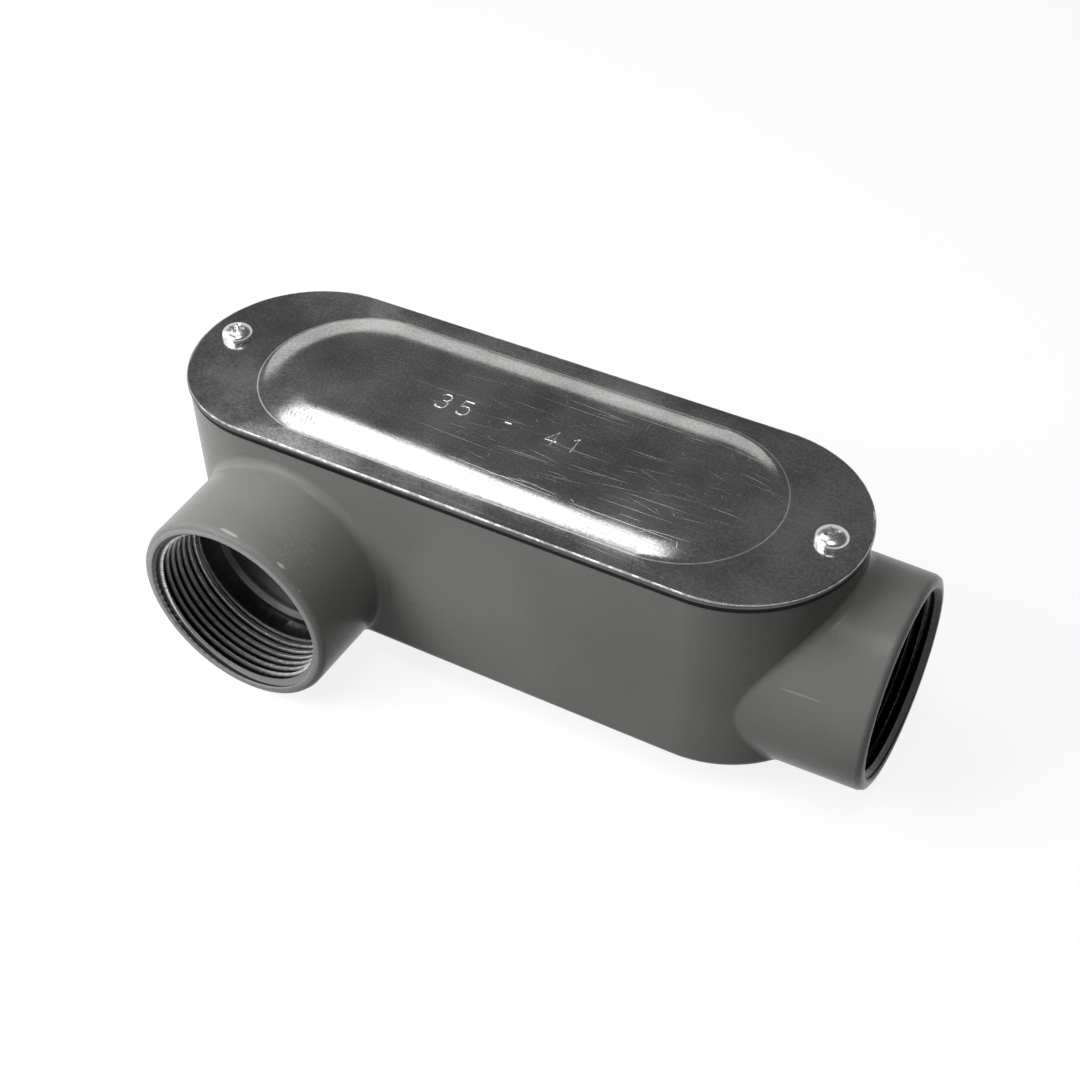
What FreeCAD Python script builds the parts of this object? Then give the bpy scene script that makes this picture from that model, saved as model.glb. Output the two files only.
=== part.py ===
"""Type LR threaded rigid conduit body, trade size 1-1/2 inch, with its gasket, stamped cover and screws.

Millimetres, +Z towards the cover. The axes of both hubs lie in the plane z = 0. The origin is on the end
hub's axis where its thread starts, +X points out of that hub, and the side hub points along -Y.
"""
import FreeCAD, Part
import math
import os

from FreeCAD import Vector

# Cast body: a round-ended trough, measured from the hubs' axes
BODY_RADIUS = 30.6            # half the width, and the radius of the round ends
BODY_HALF_STRAIGHT = 59.1     # from the middle of the body to the centre of a round end
BODY_WALL = 3.0
FLOOR_THICKNESS = 3.0
AXIS_TO_BOTTOM = 19.9
AXIS_TO_RIM = 33.4
BOTTOM_ROUNDING = 3.3
FLOOR_BEVEL = 3.5             # inside, where the wall meets the floor

# Hubs: tapped sockets for the conduit, cast with the body
END_HUB_PROUD = 14.0          # body's end to the end hub's mouth
SIDE_HUB_PROUD = 24.9         # body's side to the side hub's mouth
SIDE_HUB_INSET = 10.5         # from the round end's centre to the side hub's axis
HUB_WALL = 4.5                # at the mouth, outside the thread's crests
HUB_DRAFT = 0.6               # a hub grows this much in radius from its mouth to the body
HUB_RIM_EASING = 1.7          # the mouth's outer edge is eased, not sharp
HUB_BURIED = 2.0              # straight length of a hub's sides inside the body's outline
HUB_TAIL_LENGTH = 9.0         # under the body, where the hub runs out into the floor
HUB_TAIL_ROUNDING = 4.0
HUB_JOIN_ROUNDING = 2.5       # fillet where a hub leaves the body

# Bores: a plain wall at the thread's crests, up to an integral bushing
THREAD_RADIUS = 22.3
THREAD_COUNTERSINK = 2.0      # depth
COUNTERSINK_WIDTH = 1.9
SOCKET_DEPTH = 21.5           # mouth to bushing
BUSHING_STEP = 2.8            # how far the bushing stands in from the thread's crests
BUSHING_LENGTH = 3.2
BUSHING_BEVEL = 1.2           # keeps the wires' jackets off a sharp edge
FLOOR_RAMP_LENGTH = 9.0       # from the bushing up to the trough's floor

# End wall: the block that carries the end hub's socket inside the trough
END_BLOCK_WALL = 6.3          # outside the thread's crests

# Cover: stamped sheet with a raised panel
COVER_OVERHANG = 0.4          # past the body all round
COVER_SHEET = 1.2
COVER_EDGE_EASING = 0.7       # rolled over by the stamping die
PANEL_SIDE_MARGIN = 6.0       # cover's edge to the panel, along the sides
PANEL_END_MARGIN = 20.6       # the same at the ends, where the screws are
PANEL_SHOULDER = 7.0          # width of the slope round the panel
PANEL_RISE = 1.8
PANEL_ROUNDING = 30.0

# Gasket under the cover
GASKET_THICKNESS = 1.6
GASKET_WIDTH = 3.2
GASKET_LOBE_RADIUS = 6.5

# Cover screws, #8-32 pan heads, one at each end
SCREW_INSET = 8.1             # body's end to a screw's axis
SCREW_RADIUS = 2.08
SCREW_LENGTH = 9.5
SCREW_TIP_BEVEL = 0.6
HEAD_RADIUS = 3.95
HEAD_HEIGHT = 2.7
HEAD_EASING = 1.5
RECESS_SPAN = 4.4
RECESS_SLOT = 1.0
RECESS_DEPTH = 1.7
RECESS_TAPER = 0.45           # share of the span left at the recess's bottom
SCREW_BOSS_RADIUS = 6.0
SCREW_BOSS_DEPTH = 13.0
SCREW_BOSS_BEVEL = 3.0
SCREW_HOLE_DEPTH = 8.0

# Fits
THREAD_CLEARANCE = 0.05       # screw to its tapped hole, on the radius
HOLE_CLEARANCE = 0.4          # screw to the holes in cover and gasket, on the radius

# Places that follow from the sizes above
BODY_HALF_LENGTH = BODY_HALF_STRAIGHT + BODY_RADIUS
THREAD_MOUTH_RADIUS = THREAD_RADIUS + COUNTERSINK_WIDTH
BUSHING_RADIUS = THREAD_RADIUS - BUSHING_STEP
END_BLOCK_RADIUS = THREAD_RADIUS + END_BLOCK_WALL
HUB_MOUTH_RADIUS = THREAD_RADIUS + HUB_WALL
HUB_ROOT_RADIUS = HUB_MOUTH_RADIUS + HUB_DRAFT
MOUTH_X = THREAD_COUNTERSINK
BODY_X = MOUTH_X - END_HUB_PROUD - BODY_HALF_LENGTH
SIDE_HUB_X = BODY_X - BODY_HALF_STRAIGHT + SIDE_HUB_INSET
SIDE_MOUTH_Y = -BODY_RADIUS - SIDE_HUB_PROUD
SCREW_XS = (BODY_X - BODY_HALF_LENGTH + SCREW_INSET, BODY_X + BODY_HALF_LENGTH - SCREW_INSET)
RIM_Z = AXIS_TO_RIM
BOTTOM_Z = -AXIS_TO_BOTTOM
FLOOR_Z = BOTTOM_Z + FLOOR_THICKNESS
COVER_UNDERSIDE_Z = RIM_Z + GASKET_THICKNESS
COVER_TOP_Z = COVER_UNDERSIDE_Z + COVER_SHEET
FLOOR_TOP_RADIUS = -FLOOR_Z   # a circle round a hub's axis that just reaches the floor's top
CAVITY_RADIUS = BODY_RADIUS - BODY_WALL
COVER_RADIUS = BODY_RADIUS + COVER_OVERHANG
PANEL_RADIUS = COVER_RADIUS - PANEL_SIDE_MARGIN
PANEL_HALF_STRAIGHT = BODY_HALF_STRAIGHT + COVER_RADIUS - PANEL_END_MARGIN - PANEL_RADIUS
EASING_STEPS = 2              # flats that make up an eased edge
PAST = 1.0                    # how far a cutter runs past the face that it opens
TOUCHING = 1e-5               # points closer than this are one

X_AXIS = Vector(1, 0, 0)
Z_AXIS = Vector(0, 0, 1)


def corner_arc(before, corner, after, radius):
    """Start, middle and end of the arc that rounds a corner, or the corner itself for a zero radius."""
    if radius == 0:
        return corner, corner, corner
    back = (before - corner).normalize()
    ahead = (after - corner).normalize()
    half_angle = back.getAngle(ahead) / 2
    tangent = radius / math.tan(half_angle)
    bisector = (back + ahead).normalize()
    middle = corner + bisector * (radius / math.sin(half_angle) - radius)
    return corner + back * tangent, middle, corner + ahead * tangent


def section(corners):
    """A face in the XZ plane through corners given as x, z and rounding."""
    points = [Vector(x, 0, z) for x, z, rounding in corners]
    arcs = []
    for i, (x, z, rounding) in enumerate(corners):
        arcs.append(corner_arc(points[i - 1], points[i], points[(i + 1) % len(points)], rounding))
    edges = []
    for i, (start, middle, end) in enumerate(arcs):
        following = arcs[(i + 1) % len(arcs)][0]
        if start != end:
            edges.append(Part.Arc(start, middle, end).toShape())
        if end.distanceToPoint(following) > TOUCHING:
            edges.append(Part.LineSegment(end, following).toShape())
    return Part.Face(Part.Wire(edges))


def round_ended(half_section, half_straight):
    """A solid with straight sides and round ends, from half of its section at x >= 0, centred on the body."""
    front = half_section.copy()
    front.rotate(Vector(), Z_AXIS, -90)
    back = half_section.copy()
    back.rotate(Vector(), Z_AXIS, 90)
    run = X_AXIS * (2 * half_straight)
    front.translate(X_AXIS * -half_straight)
    back.translate(X_AXIS * -half_straight)
    straights = [front.extrude(run), back.extrude(run)]
    left = back.revolve(X_AXIS * -half_straight, Z_AXIS, 180)
    front.translate(run)
    right = front.revolve(X_AXIS * half_straight, Z_AXIS, 180)
    solid = straights[0].fuse([straights[1], left, right]).removeSplitter()
    solid.translate(Vector(BODY_X, 0, 0))
    return solid


def plate_section(inner, outer, low, high, low_rounding=0):
    """A rectangular half section from radius inner to outer, with its lower outer corner rounded."""
    return section([(inner, low, 0), (outer, low, low_rounding), (outer, high, 0), (inner, high, 0)])


def bevelled_section(outer, low, high, bevel):
    """A rectangular half section out from the axis, with its lower outer corner bevelled."""
    return section([(0, low, 0), (outer - bevel, low, 0), (outer, low + bevel, 0), (outer, high, 0), (0, high, 0)])


def eased(x, z, easing):
    """Corners that ease an outer corner at x, z in a few flats, going round from +X towards +Z."""
    turns = [math.pi / 2 * step / EASING_STEPS for step in range(EASING_STEPS + 1)]
    return [(x - easing * (1 - math.cos(turn)), z - easing * (1 - math.sin(turn)), 0) for turn in turns]


def turned(corners):
    """A solid turned about the X axis from a profile of places along the axis and radii."""
    return section(corners).revolve(Vector(), X_AXIS, 360)


def at_end_hub(shape):
    """Move a hub shape, made with its mouth at the origin and facing +X, to the end hub."""
    shape.translate(Vector(MOUTH_X, 0, 0))
    return shape


def at_side_hub(shape):
    """Move a hub shape, made with its mouth at the origin and facing +X, to the side hub."""
    shape.rotate(Vector(), Z_AXIS, -90)
    shape.translate(Vector(SIDE_HUB_X, SIDE_MOUTH_Y, 0))
    return shape


def hub_outside(length):
    """The outside of a hub: drafted, with a soft rim, and a tail that runs out under the floor."""
    tail_end = length + HUB_TAIL_LENGTH
    rim = eased(0, HUB_MOUTH_RADIUS, HUB_RIM_EASING)
    return turned([(0, 0, 0)] + rim + [
        (-length, HUB_ROOT_RADIUS, HUB_TAIL_ROUNDING),
        (-tail_end, FLOOR_TOP_RADIUS, 0),
        (-tail_end, 0, 0),
    ])


def half_chord(radius, offset):
    """Half a circle's chord at an offset from its centre, and none past its edge."""
    return math.sqrt(max(0, radius ** 2 - offset ** 2))


def end_hub_length():
    """From the end hub's mouth to where its sides are inside the body's round end."""
    meets_end = BODY_HALF_STRAIGHT + half_chord(BODY_RADIUS, HUB_ROOT_RADIUS)
    return BODY_HALF_LENGTH + END_HUB_PROUD - meets_end + HUB_BURIED


def side_hub_length():
    """From the side hub's mouth to where its far side is inside the body's round end."""
    past_straight = max(0, HUB_ROOT_RADIUS - SIDE_HUB_INSET)
    return BODY_RADIUS + SIDE_HUB_PROUD - half_chord(BODY_RADIUS, past_straight) + HUB_BURIED


def hub_bore():
    """The space inside a hub: countersink, threaded socket, rounded bushing and the ramp up to the floor."""
    bushing_end = SOCKET_DEPTH + BUSHING_LENGTH
    ramp_end = bushing_end + FLOOR_RAMP_LENGTH
    flare = BUSHING_RADIUS + BUSHING_BEVEL
    return turned([
        (PAST, 0, 0),
        (PAST, THREAD_MOUTH_RADIUS, 0),
        (0, THREAD_MOUTH_RADIUS, 0),
        (-THREAD_COUNTERSINK, THREAD_RADIUS, 0),
        (-SOCKET_DEPTH, THREAD_RADIUS, 0),
        (-SOCKET_DEPTH, flare, 0),
        (-SOCKET_DEPTH - BUSHING_BEVEL, BUSHING_RADIUS, 0),
        (-bushing_end + BUSHING_BEVEL, BUSHING_RADIUS, 0),
        (-bushing_end, flare, 0),
        (-ramp_end, FLOOR_TOP_RADIUS, 0),
        (-ramp_end, 0, 0),
    ])


def end_block():
    """The block round the end hub's socket, round on top, from the bushing's inner face outwards."""
    face_x = MOUTH_X - SOCKET_DEPTH - BUSHING_LENGTH
    right = Vector(face_x, END_BLOCK_RADIUS, 0)
    left = Vector(face_x, -END_BLOCK_RADIUS, 0)
    top = Vector(face_x, 0, END_BLOCK_RADIUS)
    foot = Z_AXIS * (BOTTOM_Z - PAST)
    outline = Part.Wire([
        Part.Arc(right, top, left).toShape(),
        Part.LineSegment(left, left + foot).toShape(),
        Part.LineSegment(left + foot, right + foot).toShape(),
        Part.LineSegment(right + foot, right).toShape(),
    ])
    return Part.Face(outline).extrude(X_AXIS * (SOCKET_DEPTH + BUSHING_LENGTH + PAST))


def screw_boss(x):
    """A rounded boss under the rim for one screw, run into the end wall."""
    outward = math.copysign(1, x - BODY_X)
    boss = bevelled_section(SCREW_BOSS_RADIUS, RIM_Z - SCREW_BOSS_DEPTH, RIM_Z + PAST, SCREW_BOSS_BEVEL)
    half_round = boss.revolve(Vector(), Z_AXIS, 360)
    web_low = RIM_Z - SCREW_BOSS_DEPTH + SCREW_BOSS_BEVEL
    web_high = RIM_Z + PAST
    web = Part.makeBox(2 * SCREW_BOSS_RADIUS, 2 * SCREW_BOSS_RADIUS, web_high - web_low)
    web.translate(Vector(-SCREW_BOSS_RADIUS + outward * SCREW_BOSS_RADIUS, -SCREW_BOSS_RADIUS, web_low))
    solid = half_round.fuse(web)
    solid.translate(Vector(x, 0, 0))
    return solid


def screw_holes(radius, low, high):
    """Plain round cutters at both screws."""
    return [Part.makeCylinder(radius, high - low, Vector(x, 0, low)) for x in SCREW_XS]


def join_edges(casting, trough, hubs):
    """The edges where a hub meets the trough: those that lie on both skins."""
    found = []
    for edge in casting.Edges:
        middle = Part.Vertex(edge.valueAt((edge.FirstParameter + edge.LastParameter) / 2))
        on_trough = middle.distToShape(trough.Shells[0])[0] < TOUCHING
        on_hub = min(middle.distToShape(hub.Shells[0])[0] for hub in hubs) < TOUCHING
        if on_trough and on_hub:
            found.append(edge)
    return found


def make_housing():
    """The casting: trough, both hubs, end block and screw bosses, then the bores and tapped holes."""
    trough = round_ended(plate_section(0, BODY_RADIUS, BOTTOM_Z, RIM_Z, BOTTOM_ROUNDING), BODY_HALF_STRAIGHT)
    hubs = [at_end_hub(hub_outside(end_hub_length())), at_side_hub(hub_outside(side_hub_length()))]
    casting = trough.fuse(hubs).removeSplitter()
    casting = casting.makeFillet(HUB_JOIN_ROUNDING, join_edges(casting, trough, hubs))

    cavity = round_ended(bevelled_section(CAVITY_RADIUS, FLOOR_Z, RIM_Z + PAST, FLOOR_BEVEL), BODY_HALF_STRAIGHT)
    left_in = [end_block()] + [screw_boss(x) for x in SCREW_XS]
    casting = casting.cut(cavity.cut(left_in))
    casting = casting.cut([at_end_hub(hub_bore()), at_side_hub(hub_bore())])
    hole_radius = SCREW_RADIUS + THREAD_CLEARANCE
    return casting.cut(screw_holes(hole_radius, RIM_Z - SCREW_HOLE_DEPTH, RIM_Z + PAST))


def make_gasket():
    """A flat rubber ring on the trough's rim, with a lobe round each screw."""
    outer = BODY_RADIUS
    inner = outer - GASKET_WIDTH
    ring = round_ended(plate_section(inner, outer, RIM_Z, COVER_UNDERSIDE_Z), BODY_HALF_STRAIGHT)
    lobes = screw_holes(GASKET_LOBE_RADIUS, RIM_Z, COVER_UNDERSIDE_Z)
    holes = screw_holes(SCREW_RADIUS + HOLE_CLEARANCE, RIM_Z - PAST, COVER_UNDERSIDE_Z + PAST)
    return ring.fuse(lobes).removeSplitter().cut(holes)


def panel_section(depth, rounding):
    """Half the raised panel's section, on the sheet's top face or at a depth inside the sheet."""
    slope = math.atan2(PANEL_RISE, PANEL_SHOULDER)
    shift = depth * math.tan(slope / 2)
    base_z = COVER_TOP_Z - depth
    crest_z = base_z + PANEL_RISE
    return section([
        (0, base_z, 0),
        (PANEL_RADIUS - shift, base_z, 0),
        (PANEL_RADIUS - PANEL_SHOULDER - shift, crest_z, rounding),
        (0, crest_z, 0),
    ])


def make_cover():
    """The stamped cover: a flat rim, a raised panel of the same sheet, and two screw holes."""
    edge = eased(COVER_RADIUS, COVER_TOP_Z, COVER_EDGE_EASING)
    flat = section([(0, COVER_UNDERSIDE_Z, 0), (COVER_RADIUS, COVER_UNDERSIDE_Z, 0)] + edge + [(0, COVER_TOP_Z, 0)])
    sheet = round_ended(flat, BODY_HALF_STRAIGHT)
    panel = round_ended(panel_section(0, PANEL_ROUNDING), PANEL_HALF_STRAIGHT)
    hollow = round_ended(panel_section(COVER_SHEET, 0), PANEL_HALF_STRAIGHT)
    holes = screw_holes(SCREW_RADIUS + HOLE_CLEARANCE, COVER_UNDERSIDE_Z - PAST, COVER_TOP_Z + PAST)
    return sheet.fuse(panel).removeSplitter().cut(hollow).cut(holes)


def recess_wire(length, width, z):
    """A rectangle round the Z axis at a height, for lofting one arm of the cross recess."""
    corners = [Vector(-length / 2, -width / 2, z), Vector(length / 2, -width / 2, z),
               Vector(length / 2, width / 2, z), Vector(-length / 2, width / 2, z)]
    return Part.makePolygon(corners + corners[:1])


def cross_recess(top_z):
    """The cross recess of a screw head, narrowing to its bottom."""
    top = recess_wire(RECESS_SPAN, RECESS_SLOT, top_z)
    bottom = recess_wire(RECESS_SPAN * RECESS_TAPER, RECESS_SLOT * RECESS_TAPER, top_z - RECESS_DEPTH)
    arm = Part.makeLoft([bottom, top], True)
    other = arm.copy()
    other.rotate(Vector(), Z_AXIS, 90)
    return arm.fuse(other)


def make_screw(x):
    """One pan head screw, seated on the cover."""
    tip_z = COVER_TOP_Z - SCREW_LENGTH
    head_z = COVER_TOP_Z + HEAD_HEIGHT
    shank = [(0, tip_z, 0), (SCREW_RADIUS - SCREW_TIP_BEVEL, tip_z, 0), (SCREW_RADIUS, tip_z + SCREW_TIP_BEVEL, 0)]
    head = [(SCREW_RADIUS, COVER_TOP_Z, 0), (HEAD_RADIUS, COVER_TOP_Z, 0)]
    crown = eased(HEAD_RADIUS, head_z, HEAD_EASING)
    profile = section(shank + head + crown + [(0, head_z, 0)])
    screw = profile.revolve(Vector(), Z_AXIS, 360).cut(cross_recess(head_z))
    screw.translate(Vector(x, 0, 0))
    return screw


def write(name, shape):
    """Write one piece, or a group of separate solids, to its STEP file."""
    print(name, "solids", len(shape.Solids), "valid", shape.isValid(), "volume", round(shape.Volume))
    shape.exportStep(os.path.join("parts", name + ".step"))


os.makedirs("parts", exist_ok=True)
write("housing", make_housing())
write("gasket", make_gasket())
write("cover", make_cover())
write("cover_screws", Part.makeCompound([make_screw(x) for x in SCREW_XS]))
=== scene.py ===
"""A threaded conduit body of the LR type: grey painted casting, bare threads, stamped aluminium cover.

Metres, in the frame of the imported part: the end hub's axis is X, the side hub points along -Y, +Z is the cover.
"""

import math

import bmesh
import bpy
from mathutils import Matrix, Vector


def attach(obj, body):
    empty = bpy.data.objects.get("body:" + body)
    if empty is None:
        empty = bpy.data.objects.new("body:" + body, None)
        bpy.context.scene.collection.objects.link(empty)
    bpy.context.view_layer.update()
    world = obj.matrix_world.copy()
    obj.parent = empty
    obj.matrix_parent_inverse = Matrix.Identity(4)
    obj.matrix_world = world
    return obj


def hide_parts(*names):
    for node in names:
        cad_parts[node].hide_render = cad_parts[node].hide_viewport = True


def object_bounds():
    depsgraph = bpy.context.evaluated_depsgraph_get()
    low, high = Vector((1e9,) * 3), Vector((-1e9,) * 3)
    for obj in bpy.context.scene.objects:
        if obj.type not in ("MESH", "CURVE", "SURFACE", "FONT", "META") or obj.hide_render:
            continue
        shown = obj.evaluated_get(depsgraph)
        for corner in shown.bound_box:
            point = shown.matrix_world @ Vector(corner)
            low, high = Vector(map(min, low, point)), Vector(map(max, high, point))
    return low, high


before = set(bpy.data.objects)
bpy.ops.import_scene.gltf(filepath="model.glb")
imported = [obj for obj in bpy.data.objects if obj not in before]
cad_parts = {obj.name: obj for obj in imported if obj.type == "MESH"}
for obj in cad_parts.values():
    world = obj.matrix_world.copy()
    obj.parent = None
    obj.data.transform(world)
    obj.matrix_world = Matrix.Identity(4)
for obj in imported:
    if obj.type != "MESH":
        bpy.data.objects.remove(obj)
cad_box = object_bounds()
MM = 0.001


# --- Studio -------------------------------------------------------------------------------------------------
# The part stands on white paper that runs up into a low wall all round, and is seen from above, past its front
# right corner. Two soft lamps hang over it, two stand at its left and front, and the room above is a plain grey.
low, high = Vector(cad_box[0]), Vector(cad_box[1])
AIM = (low + high) / 2 + Vector((3.5, 6.2, 4.0)) * MM
CAMERA_TURN = math.radians(29.68)
CAMERA_RISE = math.radians(43.19)
CAMERA_ROLL = math.radians(-1.03)
CAMERA_DISTANCE = 415.4 * MM
CAMERA_LENS = 56.2


def facing(toward):
    """The turn of a camera or lamp whose back points toward a direction."""
    return toward.to_track_quat("Z", "Y").to_matrix().to_4x4()


to_camera = Vector((math.sin(CAMERA_TURN) * math.cos(CAMERA_RISE), -math.cos(CAMERA_TURN) * math.cos(CAMERA_RISE),
                    math.sin(CAMERA_RISE)))
camera = bpy.data.objects.new("camera", bpy.data.cameras.new("camera"))
camera.data.lens = CAMERA_LENS
camera.data.sensor_width = 36.0
camera.data.clip_start = 0.01
camera.matrix_world = (Matrix.Translation(AIM + to_camera * CAMERA_DISTANCE) @ facing(to_camera)
                       @ Matrix.Rotation(CAMERA_ROLL, 4, "Z"))
bpy.context.scene.collection.objects.link(camera)
bpy.context.scene.camera = camera
bpy.context.scene.view_settings.view_transform = "Standard"


def add_lamp(name, toward, distance, width, height, power):
    """A soft rectangular lamp at a distance from the part, facing it."""
    data = bpy.data.lights.new(name, "AREA")
    data.shape = "RECTANGLE"
    data.size, data.size_y = width, height
    data.energy = power
    lamp = bpy.data.objects.new(name, data)
    toward = Vector(toward).normalized()
    lamp.matrix_world = Matrix.Translation(AIM + toward * distance) @ facing(toward)
    bpy.context.scene.collection.objects.link(lamp)


add_lamp("overhead_lamp", (-0.43, 0.20, 0.88), 0.9, 0.36, 0.52, 1.25)
add_lamp("top_lamp", (0.12, -0.22, 1.0), 0.9, 0.25, 0.25, 1.9)
add_lamp("left_lamp", (-0.85, -0.10, 0.45), 0.9, 0.55, 0.6, 1.8)
add_lamp("front_lamp", (-0.52, -0.62, 0.60), 0.42, 0.25, 0.25, 1.35)

ROOM_LIGHT = 0.11
world = bpy.data.worlds.new("studio")
bpy.context.scene.world = world
world.use_nodes = True
tree = world.node_tree
tree.nodes.clear()
room = tree.nodes.new("ShaderNodeBackground")
room.inputs["Color"].default_value = (1, 1, 1, 1)
room.inputs["Strength"].default_value = ROOM_LIGHT
room_output = tree.nodes.new("ShaderNodeOutputWorld")
tree.links.new(room.outputs["Background"], room_output.inputs["Surface"])


def paper(name, color, glow):
    """White studio paper: seen straight, mirrored or through glass it glows to white, and it still takes a shadow."""
    material = bpy.data.materials.new(name)
    material.use_nodes = True
    tree = material.node_tree
    shader = tree.nodes["Principled BSDF"]
    shader.inputs["Base Color"].default_value = (color, color, color, 1)
    shader.inputs["Roughness"].default_value = 0.9
    shader.inputs["Specular IOR Level"].default_value = 0.0
    shader.inputs["Emission Color"].default_value = (1, 1, 1, 1)
    rays = tree.nodes.new("ShaderNodeLightPath")
    seen = rays.outputs["Is Camera Ray"]
    for kind in ("Is Glossy Ray", "Is Transmission Ray"):
        either = tree.nodes.new("ShaderNodeMath")
        either.operation = "MAXIMUM"
        tree.links.new(seen, either.inputs[0])
        tree.links.new(rays.outputs[kind], either.inputs[1])
        seen = either.outputs["Value"]
    level = tree.nodes.new("ShaderNodeMath")
    level.operation = "MULTIPLY"
    level.inputs[1].default_value = glow
    tree.links.new(seen, level.inputs[0])
    tree.links.new(level.outputs["Value"], shader.inputs["Emission Strength"])
    return material


FLOOR_RADIUS = 1.3             # m
WALL_HEIGHT = 0.62             # m
WALL_STEPS = 64
FLOOR_COLOR, FLOOR_GLOW = 0.20, 0.86
WALL_COLOR, WALL_GLOW = 0.12, 0.70
floor_ring = [(math.cos(2 * math.pi * i / WALL_STEPS) * FLOOR_RADIUS,
               math.sin(2 * math.pi * i / WALL_STEPS) * FLOOR_RADIUS) for i in range(WALL_STEPS)]
floor_mesh = bpy.data.meshes.new("floor")
floor_mesh.from_pydata([(x, y, low.z) for x, y in floor_ring], [], [tuple(range(WALL_STEPS))])
floor_mesh.materials.append(paper("floor_paper", FLOOR_COLOR, FLOOR_GLOW))
floor = bpy.data.objects.new("floor", floor_mesh)
bpy.context.scene.collection.objects.link(floor)
wall_mesh = bpy.data.meshes.new("wall")
wall_mesh.from_pydata([(x, y, low.z + z) for z in (0.0, WALL_HEIGHT) for x, y in floor_ring], [],
                      [((i + 1) % WALL_STEPS, i, WALL_STEPS + i, WALL_STEPS + (i + 1) % WALL_STEPS)
                       for i in range(WALL_STEPS)])
wall_mesh.materials.append(paper("wall_paper", WALL_COLOR, WALL_GLOW))
wall = bpy.data.objects.new("wall", wall_mesh)
bpy.context.scene.collection.objects.link(wall)


# --- Housing ------------------------------------------------------------------------------------------------
# One aluminium sand casting, sprayed satin grey all over, its two hubs tapped afterwards with a tapered pipe
# thread, so the thread is bare metal. The casting's own solid is kept and only its plain bores are cut again.
PITCH = 2.209                  # mm, 11-1/2 turns to the inch
BORE_RADIUS = 22.33            # mm, the thread's crests
ROOT_RADIUS = 24.05            # mm, at the mouth
TAPER = 1 / 32                 # a tapered pipe thread loses this much radius along its length
THREAD_LENGTH = 17.6           # mm, from the mouth to the last turn
SOCKET_DEPTH = 21.52           # mm, from the mouth to the bushing
MOUTHS = {                     # where each hub's mouth is, in mm, and which way it looks
    "end": (Vector((2.0, 0.0, 0.0)), Vector((1, 0, 0))),
    "side": (Vector((-150.3, -55.5, 0.0)), Vector((0, -1, 0))),
}


def new_object(name, mesh):
    """An object at the origin that holds a mesh."""
    obj = bpy.data.objects.new(name, mesh)
    bpy.context.scene.collection.objects.link(obj)
    return obj


def merged_copy(node, name):
    """A copy of a node's mesh as one closed skin, because the node itself is loose triangles."""
    mesh = bmesh.new()
    mesh.from_mesh(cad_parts[node].data)
    bmesh.ops.remove_doubles(mesh, verts=mesh.verts, dist=0.002 * MM)
    bmesh.ops.dissolve_degenerate(mesh, edges=mesh.edges, dist=0.001 * MM)
    for layer in list(mesh.loops.layers.float_vector.values()):
        mesh.loops.layers.float_vector.remove(layer)
    data = bpy.data.meshes.new(name)
    mesh.to_mesh(data)
    mesh.free()
    data.materials.clear()
    return new_object(name, data)


def settled(obj):
    """Turn an object's modifiers into a plain mesh and take the modifiers away."""
    graph = bpy.context.evaluated_depsgraph_get()
    data = bpy.data.meshes.new_from_object(obj.evaluated_get(graph), depsgraph=graph)
    obj.modifiers.clear()
    old = obj.data
    obj.data = data
    bpy.data.meshes.remove(old)
    return obj


def add_input(tree, name, kind, value):
    """A named input of a node tree with its value when nothing is set."""
    socket = tree.interface.new_socket(name=name, in_out="INPUT", socket_type=kind)
    socket.default_value = value
    return socket


def set_inputs(modifier, **values):
    """Set a Geometry Nodes modifier's inputs by the identifiers of their sockets."""
    for item in modifier.node_group.interface.items_tree:
        if item.item_type == "SOCKET" and item.in_out == "INPUT" and item.name in values:
            modifier[item.identifier] = values[item.name]


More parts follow.
